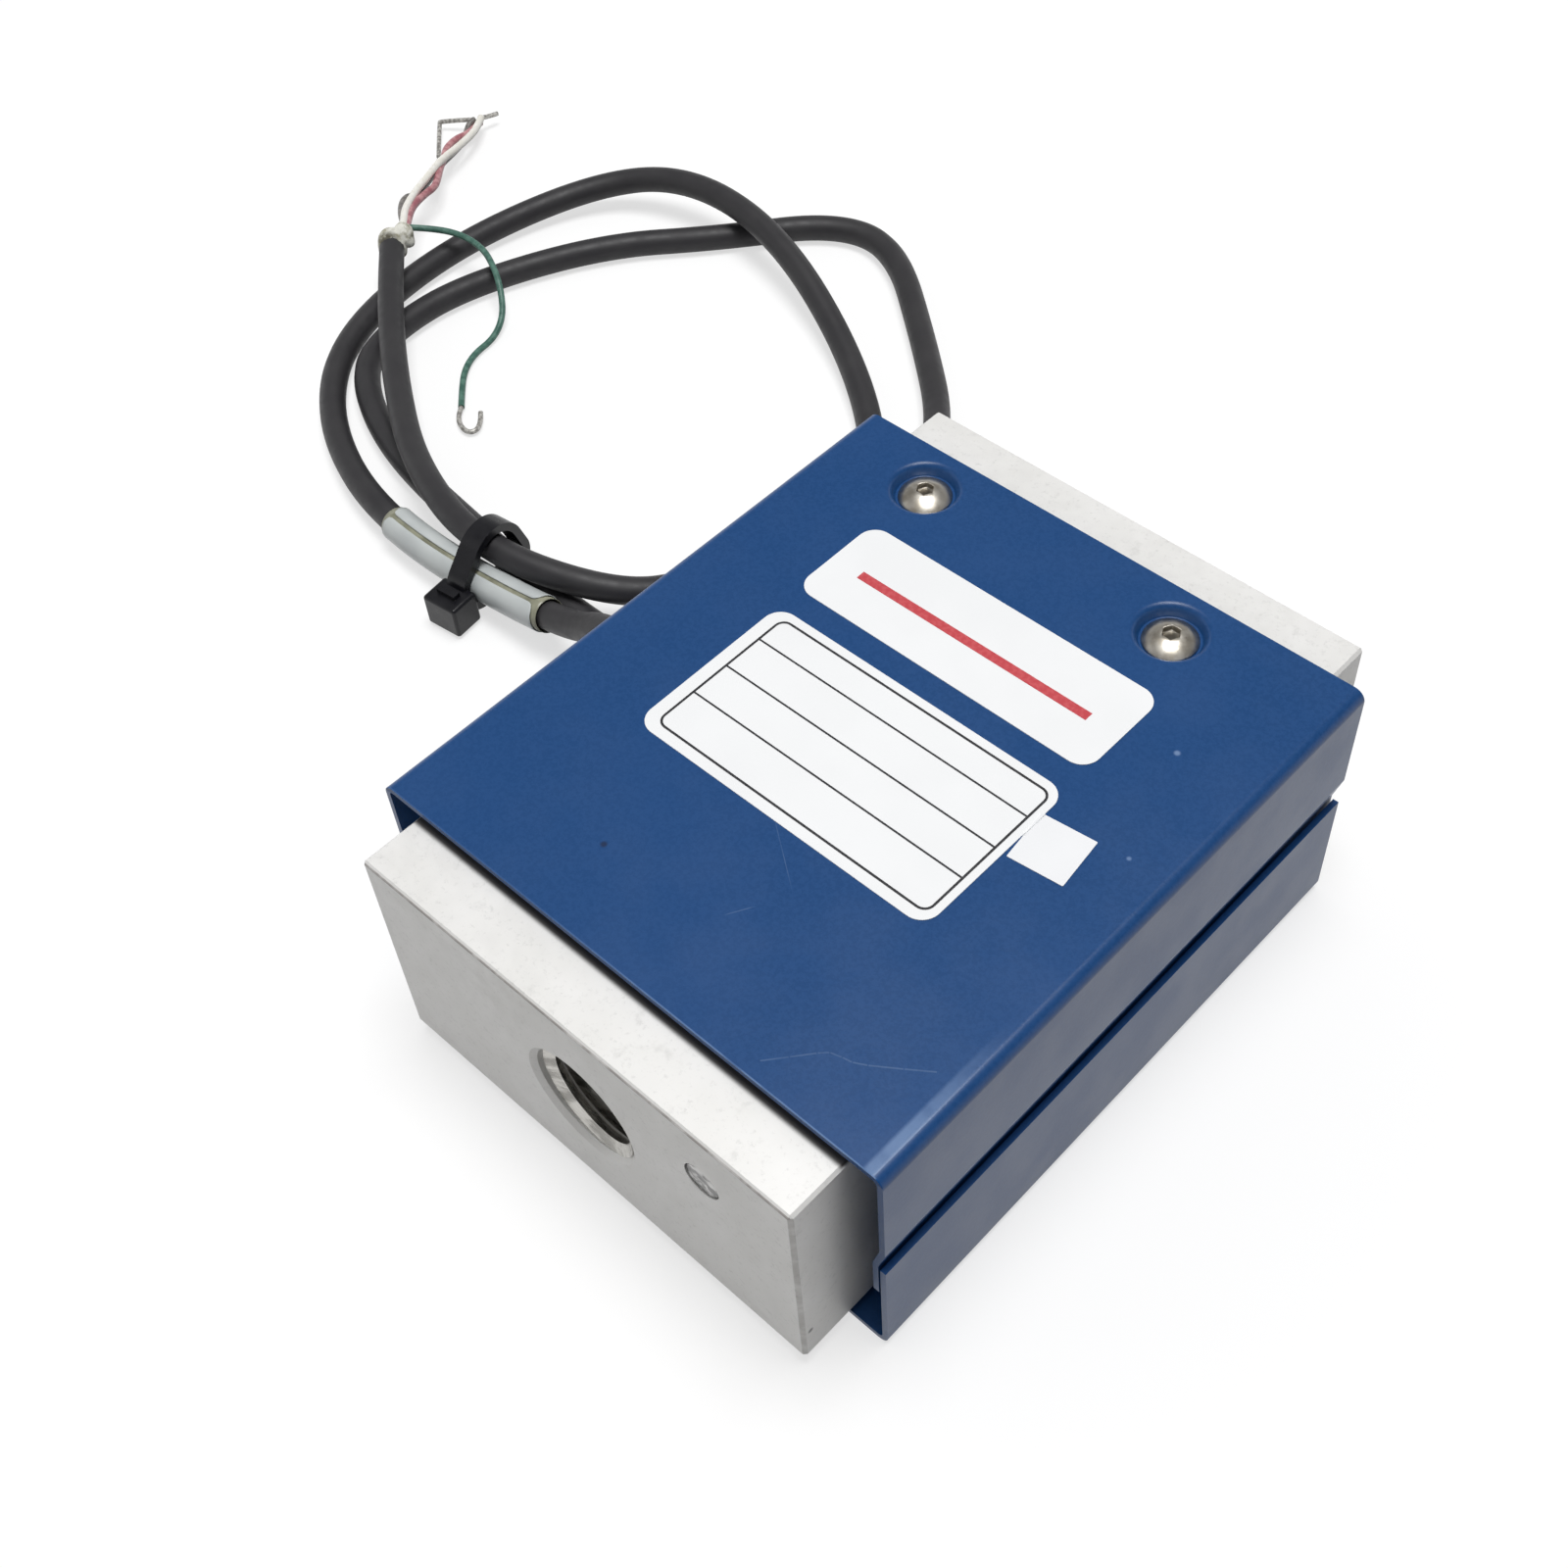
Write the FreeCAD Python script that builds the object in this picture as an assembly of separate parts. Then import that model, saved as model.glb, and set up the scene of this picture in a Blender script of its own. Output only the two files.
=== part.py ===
import FreeCAD, Part
import math
import os

# Weighing load cell: an S-shaped aluminium beam between two folded covers, with its tied cable.
# Millimetres. The origin is the middle of the underside, +Y runs along the load axis, +Z is up.

V = FreeCAD.Vector
UP = V(0, 0, 1)

# Beam block
body_width = 50.8
body_length = 76.2
body_height = 25.4
edge_break = 0.3

# Beam slots and sensing window
slot_width = 3.0
slot_from_middle = 11.0
window_hole_radius = 8.0
window_hole_x = 10.5
window_link_width = 6.0

# Load threads, one in each end
thread_radius = 6.0
thread_depth = 16.0
thread_chamfer = 0.5
drill_point_depth = 3.4

# Covers
sheet = 0.6
cover_gap = 1.2
cover_side_gap = 3.25
block_showing = 6.1
bend_radius = 0.9
joggle_top = 16.9
joggle_bottom = 14.0
lip_bottom = 9.3
lip_clearance = 0.2
lower_flange_top = 13.6

# Screw dimples pressed into the covers
dimple_rim_radius = 3.45
dimple_seat_radius = 2.95
dimple_blend_width = 0.7
dimple_bend = 0.45
screw_pass_radius = 1.6

# Cover screws
screw_left_x = -17.6
screw_right_x = 11.9
screw_from_end = 11.1
screw_head_radius = 2.7
screw_head_height = 1.2
screw_head_rim = 0.15
screw_radius = 1.42
screw_length = 6.3
screw_play = 0.04
screw_hole_spare = 1.2
socket_across_flats = 1.6
socket_depth = 0.75

# Overload stop screws
stop_x = 15.2
stop_above_middle = 5.8
stop_radius = 1.9
stop_recess = 0.5
stop_play = 0.03
stop_gap = 0.15
stop_socket_depth = 1.6

# Strain gauges glued in the window
gauge_thickness = 0.15
gauge_half_angle = 22.0
gauge_height = 6.0
glue_line = 0.05

# Terminal board and its trim resistors
board_length = 18.0
board_width = 10.0
board_thickness = 0.8
resistor_length = 3.2
resistor_width = 1.6
resistor_height = 0.6
resistor_x = 5.6

# Leads inside the cell
lead_radius = 0.35
lead_spread = 0.6
lead_rise_x = -6.6
lead_bend = 3.0

# Cable entry
exit_y = 3.0
entry_radius = 2.6
bushing_play = 0.02
collar_radius = 3.8
collar_thickness = 1.4
tail_length = 6.0
tail_end_radius = 2.3
cable_opening_radius = 4.7

# Cable
cable_radius = 1.65
arc_share = 0.45
cable_route = [
    (-21.0, exit_y, 14.5), (-38.5, exit_y, 14.5), (-50.5, 4.9, 3.9), (-79.5, 2.9, 3.0),
    (-100.2, 10.0, 1.75), (-112.5, 22.3, 1.7), (-116.1, 43.0, 1.7), (-110.4, 64.3, 2.8),
    (-98.0, 71.5, 5.9), (-79.2, 69.8, 5.9), (-56.2, 59.6, 1.9), (-40.5, 45.5, 1.7),
    (-34.6, 30.0, 1.75), (-35.8, 16.5, 1.7), (-43.5, 8.7, 1.7), (-56.5, 8.4, 2.1),
    (-68.0, 8.7, 3.5), (-90.1, 12.2, 1.75), (-105.0, 19.1, 1.7), (-108.6, 27.4, 1.7),
    (-108.2, 39.5, 1.7), (-100.3, 56.9, 1.75), (-89.3, 68.2, 1.7), (-79.5, 80.2, 1.75),
    (-69.6, 81.4, 1.7), (-54.0, 69.0, 1.7), (-42.5, 58.8, 2.1), (-35.2, 47.0, 5.9),
    (-39.5, 32.0, 5.9), (-45.0, 19.5, 3.0), (-49.8, 11.2, 4.9), (-65.5, 5.5, 6.6),
    (-82.5, 10.2, 5.9), (-97.0, 19.3, 5.8), (-110.0, 29.3, 5.9), (-118.5, 36.9, 6.0),
]

# Sleeve wrapped round the cable
sleeve_start = 34.6
sleeve_length = 27.0
sleeve_thickness = 0.4

# Cable tie
tie_x = -65.0
tie_y = 6.5
tie_turn = 7.0
tie_reach = 9.0
strap_width = 2.6
strap_thickness = 1.0
strap_play = 0.35
strap_top_ease = 1.2
tie_head_length = 4.8
tie_head_depth = 3.8
tie_head_height = 4.2
tie_head_bottom = 0.3
tie_head_round = 0.4
tie_tail_height = 0.6

# Shield and conductors at the cable's cut end
shield_length = 3.4
shield_bulge_radius = 1.9
shield_tip_radius = 1.5
wire_radius = 0.43
tip_radius = 0.3
twist_route = [
    (-121.25, 39.47, 5.9), (-124.9, 44.8, 5.2), (-127.5, 51.0, 4.1),
    (-131.2, 58.4, 2.9), (-135.3, 65.8, 1.9),
]
white_shift = (0.0, 0.0, 0.5)
red_shift = (0.42, 0.23, -0.25)
black_shift = (-0.42, -0.23, -0.25)
green_route = [
    (-120.7, 40.45, 5.9), (-116.5, 43.4, 5.5), (-111.0, 44.8, 5.0), (-103.8, 41.4, 4.9),
    (-99.4, 38.0, 2.6), (-98.2, 33.4, 0.7), (-94.6, 27.2, 0.6), (-91.2, 23.5, 0.6),
]
white_tip_route = [(-135.33, 65.86, 2.4), (-136.2, 67.6, 2.0), (-134.9, 69.0, 1.8)]
black_tip_route = [(-136.0, 66.0, 1.5), (-139.2, 63.2, 1.2), (-137.4, 60.0, 1.0), (-133.6, 57.0, 0.9)]
green_tip_route = [(-91.16, 23.46, 0.6), (-89.6, 21.3, 0.6), (-87.4, 21.5, 0.6), (-87.0, 23.6, 0.6)]

# Labels on the upper cover
label_thickness = 0.1
label_corner = 1.9
name_label_x = -0.9
name_label_y = 14.4
name_label_length = 34.2
name_label_width = 10.9
data_label_x = -0.5
data_label_y = -3.2
data_label_length = 33.9
data_label_width = 18.6
sticker_x = 19.25
sticker_y = 0.55
sticker_length = 5.5
sticker_width = 5.5
sticker_corner = 0.1
sticker_turn = 6.5

# Sizes that follow from those above
cover_width = body_width + 2 * (cover_side_gap + sheet)
cover_length = body_length - 2 * block_showing
stand_off = cover_gap + sheet
body_bottom = stand_off
body_top = body_bottom + body_height
cover_top = body_top + stand_off
middle = cover_top / 2
body_half = body_length / 2
side = body_width / 2
slot_leg = side - (window_hole_x + window_hole_radius)
lip_shift = sheet + lip_clearance
sleeve_radius = cable_radius + sleeve_thickness


def save(shape, name):
    """Write one piece to its own file."""
    shape.exportStep("parts/" + name + ".step")


def box(low, high):
    """A box between two corners."""
    size = high - low
    return Part.makeBox(size.x, size.y, size.z, low)


def unit(vector):
    """The same direction with length one."""
    return vector * (1.0 / vector.Length)


def points_of(route, shift=(0.0, 0.0, 0.0)):
    """The points of a route as vectors, all moved by the same shift."""
    return [V(*point) + V(*shift) for point in route]


def stood_at(shape, point, direction):
    """A piece made about the vertical axis, put at a point and turned to a direction."""
    placed = shape.copy()
    placed.Placement = FreeCAD.Placement(point, FreeCAD.Rotation(UP, direction))
    return placed


def through_middle(shape):
    """The like piece on the opposite side of the cell's middle, in all three directions."""
    centre = V(0, 0, middle)
    for direction in (V(1, 0, 0), V(0, 1, 0), UP):
        shape = shape.mirror(centre, direction)
    return shape


def half_turn(before, point, after):
    """Half the angle by which a route turns at a point."""
    return (point - before).getAngle(after - point) / 2


def corner_arc(before, point, after, radius):
    """The tangent arc that rounds one corner of a route, with its two ends."""
    back = unit(before - point)
    ahead = unit(after - point)
    half = half_turn(before, point, after)
    start = point + back * (radius * math.tan(half))
    end = point + ahead * (radius * math.tan(half))
    top = point + unit(back + ahead) * (radius / math.cos(half) - radius)
    return start, end, Part.Arc(start, top, end).toShape()


def rounded_edges(points, radii):
    """Straight runs joined by tangent arcs, one radius for each inner point."""
    edges = []
    last = points[0]
    for before, point, after, radius in zip(points, points[1:], points[2:], radii):
        start, end, arc = corner_arc(before, point, after, radius)
        edges.append(Part.LineSegment(last, start).toShape())
        edges.append(arc)
        last = end
    edges.append(Part.LineSegment(last, points[-1]).toShape())
    return edges


def loose_radii(points):
    """The radius that each corner of a loose cord's route leaves room for."""
    radii = []
    for before, point, after in zip(points, points[1:], points[2:]):
        run = min((point - before).Length, (after - point).Length)
        radii.append(arc_share * run / math.tan(half_turn(before, point, after)))
    return radii


def loose_path(points):
    """The path of a loose cord or wire."""
    return rounded_edges(points, loose_radii(points))


def tube(edges, radius):
    """A round solid that follows a path."""
    first = edges[0]
    ring = Part.makeCircle(radius, first.valueAt(first.FirstParameter), first.tangentAt(first.FirstParameter))
    return Part.Wire(edges).makePipe(Part.Face(Part.Wire(ring)))


def stretch(edges, start, length):
    """The part of a path that begins at a distance along it."""
    kept = []
    done = 0.0
    for edge in edges:
        first = max(start - done, 0.0)
        last = min(start + length - done, edge.Length)
        if first < last:
            low = edge.getParameterByLength(first)
            high = edge.getParameterByLength(last)
            kept.append(edge.Curve.toShape(low, high))
        done += edge.Length
    return kept


def folded_strip(points, inward, bend, thickness):
    """Section of a folded sheet: its outer corners, the first inward direction, the bend at mid-sheet."""
    plane = unit((points[1] - points[0]).cross(inward))
    normals = [unit(plane.cross(b - a)) for a, b in zip(points, points[1:])]
    inner = [points[0] + normals[0] * thickness]
    outer_radii = []
    inner_radii = []
    for point, first, second in zip(points[1:], normals, normals[1:]):
        inner.append(point + (first + second) * (thickness / (1 + first.dot(second))))
        half = math.copysign(thickness / 2, first.cross(second).dot(plane))
        outer_radii.append(bend + half)
        inner_radii.append(bend - half)
    inner.append(points[-1] + normals[-1] * thickness)
    edges = rounded_edges(points, outer_radii)
    edges.append(Part.LineSegment(points[-1], inner[-1]).toShape())
    edges.extend(rounded_edges(inner[::-1], inner_radii[::-1]))
    edges.append(Part.LineSegment(inner[0], points[0]).toShape())
    return Part.Face(Part.Wire(Part.__sortEdges__(edges)))


def revolved(points):
    """A solid of revolution about the vertical axis from its half section."""
    corners = [V(x, 0, z) for x, z in points]
    outline = Part.makePolygon(corners + [corners[0]])
    return Part.Face(outline).revolve(V(0, 0, 0), UP, 360)


def hex_prism(across_flats, low, high):
    """A six-sided prism about the vertical axis."""
    corner = across_flats / math.sqrt(3)
    angles = [math.radians(60 * k) for k in range(7)]
    corners = [V(corner * math.cos(angle), corner * math.sin(angle), low) for angle in angles]
    return Part.Face(Part.makePolygon(corners)).extrude(UP * (high - low))


def load_bore():
    """The cut for one load thread, in from the front end: chamfer, bore and drill point."""
    outline = [
        (0, 0), (thread_radius + thread_chamfer, 0), (thread_radius, thread_chamfer),
        (thread_radius, thread_depth), (0, thread_depth + drill_point_depth),
    ]
    return stood_at(revolved(outline), V(0, -body_half, middle), V(0, 1, 0))


def slot_cut():
    """The cut for the front slot, open on the right and round at its closed end."""
    end_x = slot_leg - side + slot_width / 2
    centre = V(end_x, -slot_from_middle - slot_width / 2, 0)
    half = V(0, slot_width / 2, 0)
    straight = box(centre - half, V(body_width, centre.y + slot_width / 2, cover_top))
    return straight.fuse(Part.makeCylinder(slot_width / 2, cover_top, centre))


def stop_cut():
    """The hole for the front overload stop screw."""
    start = V(stop_x, -body_half, middle + stop_above_middle)
    length = body_half - slot_from_middle - slot_width / 2
    return Part.makeCylinder(stop_radius + stop_play, length, start, V(0, 1, 0))


def screw_places():
    """Where the upper cover's screws enter the cell's top."""
    y = body_half - screw_from_end
    return [V(screw_left_x, y, 0), V(screw_right_x, y, 0)]


def screw_cuts():
    """The holes in the block for the upper cover's screws."""
    depth = screw_length - sheet + screw_hole_spare
    radius = screw_radius + screw_play
    return [Part.makeCylinder(radius, depth, place + UP * (body_top - depth)) for place in screw_places()]


def window_cut():
    """The sensing window: two round holes joined by a slot."""
    centres = (V(-window_hole_x, 0, 0), V(window_hole_x, 0, 0))
    holes = [Part.makeCylinder(window_hole_radius, cover_top, centre) for centre in centres]
    half = V(window_hole_x, window_link_width / 2, 0)
    return box(half * -1, half + UP * cover_top).multiFuse(holes)


def entry_cut():
    """The bore that the cable goes in by, from the left side into the window."""
    return Part.makeCylinder(entry_radius, side - window_hole_x, V(-side, exit_y, middle), V(1, 0, 0))


def load_body():
    """The S-shaped beam with its window, threads and screw holes."""
    block = box(V(-side, -body_half, body_bottom), V(side, body_half, body_top))
    block = block.makeChamfer(edge_break, block.Edges)
    paired = [load_bore(), slot_cut(), stop_cut()] + screw_cuts()
    cuts = paired + [through_middle(cut) for cut in paired] + [window_cut(), entry_cut()]
    return block.cut(cuts)


def dimple():
    """One dimple of a cover, pressed in until its seat rests on the block."""
    slope = dimple_rim_radius - dimple_seat_radius
    outer = [
        V(screw_pass_radius, 0, -cover_gap), V(dimple_seat_radius, 0, -cover_gap),
        V(dimple_seat_radius + slope, 0, 0), V(dimple_rim_radius + dimple_blend_width, 0, 0),
    ]
    section = folded_strip(outer, V(0, 0, -1), dimple_bend, sheet)
    return section.revolve(V(0, 0, 0), UP, 360)


def dimpled(cover):
    """A cover with its top pressed in at the two screws."""
    rim = dimple_rim_radius + dimple_blend_width
    for place in screw_places():
        top = place + UP * cover_top
        cover = cover.cut(Part.makeCylinder(rim, sheet, top - UP * sheet))
        pressed = dimple()
        pressed.translate(top)
        cover = cover.fuse(pressed)
    return cover.removeSplitter()


def cover_blank(outer):
    """A folded cover without its holes, from one half of its outer section."""
    front = -cover_length / 2
    corners = [V(-x, front, z) for x, z in outer] + [V(x, front, z) for x, z in outer[::-1]]
    return folded_strip(corners, V(1, 0, 0), bend_radius, sheet).extrude(V(0, cover_length, 0))


def cable_opening():
    """The round opening in the left flanges that the cable comes out of."""
    start = V(-cover_width, exit_y, middle)
    return Part.makeCylinder(cable_opening_radius, cover_width - side, start, V(1, 0, 0))


def upper_cover():
    """The upper cover, with joggled lips that go inside the lower cover's flanges."""
    half = cover_width / 2
    outer = [
        (half - lip_shift, lip_bottom), (half - lip_shift, joggle_bottom),
        (half, joggle_top), (half, cover_top),
    ]
    notch = box(
        V(-cover_width, exit_y - cable_opening_radius, 0),
        V(-side, exit_y + cable_opening_radius, middle),
    )
    return dimpled(cover_blank(outer)).cut([cable_opening(), notch])


def lower_cover():
    """The lower cover, with plain flanges that end at the upper cover's joggle."""
    half = cover_width / 2
    blank = cover_blank([(half, cover_top - lower_flange_top), (half, cover_top)])
    pressed = through_middle(dimpled(blank))
    return pressed.cut(cable_opening())


def cover_screw():
    """A button-head screw, standing with the underside of its head at height nought."""
    rise = screw_head_height - screw_head_rim
    dome_radius = (screw_head_radius ** 2 + rise ** 2) / (2 * rise)
    dome = Part.makeSphere(dome_radius, V(0, 0, screw_head_height - dome_radius))
    head = Part.makeCylinder(screw_head_radius, screw_head_height).common(dome)
    shank = Part.makeCylinder(screw_radius, screw_length, V(0, 0, -screw_length))
    socket = hex_prism(socket_across_flats, screw_head_height - socket_depth, screw_head_height)
    return head.fuse(shank).cut(socket)


def stop_screw():
    """The front overload stop: a long headless screw that ends just short of the middle section."""
    start = V(stop_x, -body_half + stop_recess, middle + stop_above_middle)
    length = body_half - stop_recess - slot_from_middle - stop_gap
    socket = hex_prism(socket_across_flats, 0, stop_socket_depth)
    return Part.makeCylinder(stop_radius, length, start, V(0, 1, 0)).cut(stood_at(socket, start, V(0, 1, 0)))


def strain_gauge(x, turn):
    """One foil gauge, glued to the thin wall of a window hole."""
    outer = window_hole_radius - glue_line
    base = V(0, 0, middle - gauge_height / 2)
    wedge = Part.makeCylinder(outer, gauge_height, base, UP, 2 * gauge_half_angle)
    patch = wedge.cut(Part.makeCylinder(outer - gauge_thickness, gauge_height, base))
    patch.rotate(V(0, 0, 0), UP, turn - gauge_half_angle)
    patch.translate(V(x, 0, 0))
    return patch


def terminal_board():
    """The board that the gauges and the cable are wired to, across the window."""
    half = V(board_length / 2, board_width / 2, 0)
    return box(UP * body_top - half, UP * (body_top + board_thickness) + half)


def trim_resistor(x):
    """One resistor under the board."""
    half = V(resistor_length / 2, resistor_width / 2, 0)
    centre = V(x, 0, body_top)
    return box(centre - half - UP * resistor_height, centre + half)


def inner_lead(y_side, z_side):
    """One lead from the cable's end along the window and up to the board."""
    start = V(cable_route[0][0], exit_y + y_side * lead_spread, middle + z_side * lead_spread)
    corner = V(lead_rise_x - z_side * lead_spread, start.y, start.z)
    end = V(corner.x, corner.y, body_top)
    return tube(rounded_edges([start, corner, end], [lead_bend]), lead_radius)


def strain_relief(cable):
    """The moulded sleeve that holds the cable in the entry bore, with a collar and a tapered tail."""
    inside = side + cable_route[0][0]
    outer = entry_radius - bushing_play
    collar_end = inside + collar_thickness
    outline = [
        (0, 0), (outer, 0), (outer, inside), (collar_radius, inside),
        (collar_radius, collar_end), (outer, collar_end),
        (tail_end_radius, collar_end + tail_length), (0, collar_end + tail_length),
    ]
    return stood_at(revolved(outline), V(cable_route[0][0], exit_y, middle), V(-1, 0, 0)).cut(cable)


def belt(centres, radii, plane):
    """The outline of a band drawn tight round circles that are listed anticlockwise."""
    pairs = list(zip(centres, radii, centres[1:] + centres[:1], radii[1:] + radii[:1]))
    outward = []
    for centre, radius, other, other_radius in pairs:
        along = unit(other - centre)
        share = (radius - other_radius) / (other - centre).Length
        outward.append(along * share + along.cross(plane) * math.sqrt(1 - share ** 2))
    edges = []
    for (centre, radius, other, other_radius), out, after in zip(pairs, outward, outward[1:] + outward[:1]):
        end = other + out * other_radius
        edges.append(Part.LineSegment(centre + out * radius, end).toShape())
        middle_of_arc = other + unit(out + after) * other_radius
        edges.append(Part.Arc(end, middle_of_arc, other + after * other_radius).toShape())
    return Part.Face(Part.Wire(edges))


def tied_strands(path, plane, across):
    """Where the cable passes through the tie: the sleeved strand, then the others anticlockwise."""
    corner = V(tie_x, tie_y, tie_reach) - across * tie_reach - UP * tie_reach
    window = Part.makePlane(2 * tie_reach, 2 * tie_reach, corner, plane, across)
    points = [vertex.Point for vertex in window.section(Part.Wire(path)).Vertexes]
    sleeved, top, far = sorted(points, key=lambda point: point.dot(across))
    return [sleeved, far, top]


def cable_tie(path):
    """The tie round the three strands: strap, head and the stub of its cut tail."""
    plane = V(math.cos(math.radians(tie_turn)), math.sin(math.radians(tie_turn)), 0)
    across = UP.cross(plane)
    centres = tied_strands(path, plane, across)
    centres[2] -= UP * strap_top_ease
    inner = [radius + strap_play for radius in (sleeve_radius, cable_radius, cable_radius + strap_top_ease)]
    outer = [radius + strap_thickness for radius in inner]
    ring = belt(centres, outer, plane).cut(belt(centres, inner, plane))
    ring.translate(plane * (-strap_width / 2))
    strap = ring.extrude(plane * strap_width)
    seat = centres[0] - across * inner[0]
    base = V(seat.x, seat.y, tie_head_bottom) - plane * (tie_head_length / 2) - across * tie_head_depth
    head = Part.makeBox(tie_head_length, tie_head_depth, tie_head_height)
    tail_y = (tie_head_depth - strap_thickness) / 2
    tail_x = (tie_head_length - strap_width) / 2
    tail = Part.makeBox(strap_width, strap_thickness, tie_tail_height, V(tail_x, tail_y, tie_head_height))
    head = head.makeFillet(tie_head_round, head.Edges).fuse(tail)
    head.Placement = FreeCAD.Placement(base, FreeCAD.Rotation(UP, tie_turn))
    return strap.fuse(head)


def shield_tuft(point, direction):
    """The frayed end of the cable's shield, where the conductors come out."""
    outline = [
        (0, 0), (cable_radius, 0), (shield_bulge_radius, shield_length / 2),
        (shield_tip_radius, shield_length), (0, shield_length),
    ]
    return stood_at(revolved(outline), point, direction)


def film(x, y, length, width, corner, layer=0):
    """A thin film with round corners, on the upper cover or one or more layers above it."""
    half = V(length / 2, width / 2, 0)
    plate = box(half * -1, half + UP * label_thickness)
    upright = [edge for edge in plate.Edges if abs(edge.tangentAt(edge.FirstParameter).z) > 0.5]
    plate = plate.makeFillet(corner, upright)
    plate.translate(V(x, y, cover_top + layer * label_thickness))
    return plate


def data_label(grown=0.0, layer=0):
    """The data label, or a like film that reaches further all round."""
    return film(
        data_label_x, data_label_y, data_label_length + 2 * grown, data_label_width + 2 * grown,
        label_corner + grown, layer,
    )


def small_sticker():
    """The sticker that lies on the data label at one end and bends down onto the cover beside it."""
    layers = [film(sticker_x, sticker_y, sticker_length, sticker_width, sticker_corner, n) for n in (0, 1)]
    for layer in layers:
        layer.rotate(V(sticker_x, sticker_y, 0), UP, sticker_turn)
    beside, above = layers
    return beside.cut(data_label()).fuse(above.common(data_label(label_thickness, 1)))


def save_cell():
    """The beam, its covers, their screws and the overload stops."""
    save(load_body(), "load_body")
    save(upper_cover(), "upper_cover")
    save(lower_cover(), "lower_cover")
    for place, name in zip(screw_places(), ("left", "right")):
        screw = cover_screw()
        screw.translate(place + UP * (cover_top - cover_gap))
        save(screw, "upper_cover_screw_" + name)
        save(through_middle(screw), "lower_cover_screw_" + name)
    save(stop_screw(), "front_stop_screw")
    save(through_middle(stop_screw()), "rear_stop_screw")


def save_wiring():
    """The gauges, the board and the leads inside the window."""
    for x, x_name in ((-window_hole_x, "left"), (window_hole_x, "right")):
        for turn, y_name in ((-90, "front"), (90, "rear")):
            save(strain_gauge(x, turn), "strain_gauge_" + y_name + "_" + x_name)
    save(terminal_board(), "terminal_board")
    for x, name in ((-resistor_x, "left"), (resistor_x, "right")):
        save(trim_resistor(x), "trim_resistor_" + name)
    corners = ((1, 1), (1, -1), (-1, -1), (-1, 1))
    for colour, (y_side, z_side) in zip(("red", "black", "green", "white"), corners):
        save(inner_lead(y_side, z_side), "inner_lead_" + colour)


def save_cable():
    """The cable with its sleeve, its tie, and the shield and conductors at its cut end."""
    points = points_of(cable_route)
    path = loose_path(points)
    cable = tube(path, cable_radius)
    length = sum(edge.Length for edge in path)
    print("cable radii", [round(radius, 1) for radius in loose_radii(points)])
    print("cable length", round(length, 1), "volume", cable.Volume, math.pi * cable_radius ** 2 * length)
    save(cable, "cable")
    save(strain_relief(cable), "strain_relief")
    save(tube(stretch(path, sleeve_start, sleeve_length), sleeve_radius).cut(cable), "cable_sleeve")
    save(cable_tie(path), "cable_tie")
    save(shield_tuft(points[-1], points[-1] - points[-2]), "shield_tuft")
    for colour, shift in (("white", white_shift), ("red", red_shift), ("black", black_shift)):
        save(tube(loose_path(points_of(twist_route, shift)), wire_radius), colour + "_conductor")
    save(tube(loose_path(points_of(green_route)), wire_radius), "green_conductor")
    tips = (("white", white_tip_route), ("black", black_tip_route), ("green", green_tip_route))
    for colour, route in tips:
        save(tube(loose_path(points_of(route)), tip_radius), colour + "_conductor_tip")


def save_labels():
    """The two labels and the small sticker, all plain."""
    save(film(name_label_x, name_label_y, name_label_length, name_label_width, label_corner), "name_label")
    save(data_label(), "data_label")
    save(small_sticker(), "small_sticker")


os.makedirs("parts", exist_ok=True)
save_cell()
save_wiring()
save_cable()
save_labels()
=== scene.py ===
import math
import random

import bmesh
import bpy
from mathutils import Matrix, Vector


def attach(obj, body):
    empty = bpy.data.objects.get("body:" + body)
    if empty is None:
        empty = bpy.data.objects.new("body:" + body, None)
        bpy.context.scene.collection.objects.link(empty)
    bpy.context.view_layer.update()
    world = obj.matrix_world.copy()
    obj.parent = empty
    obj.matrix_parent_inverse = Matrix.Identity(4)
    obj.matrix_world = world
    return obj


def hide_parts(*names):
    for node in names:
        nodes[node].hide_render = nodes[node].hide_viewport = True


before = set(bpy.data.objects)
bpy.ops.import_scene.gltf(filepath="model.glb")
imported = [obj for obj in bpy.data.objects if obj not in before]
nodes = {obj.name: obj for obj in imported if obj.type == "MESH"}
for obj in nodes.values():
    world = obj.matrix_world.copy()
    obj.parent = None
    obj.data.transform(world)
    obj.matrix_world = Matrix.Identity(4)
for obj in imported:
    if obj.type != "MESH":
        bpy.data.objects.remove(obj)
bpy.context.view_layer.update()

# An S-type load cell lying on its lower cover, with its short cable tied in a loop beside it.
# Sizes and places are in metres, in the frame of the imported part.
MM = 0.001


def mm(*numbers):
    return tuple(n * MM for n in numbers)


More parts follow.
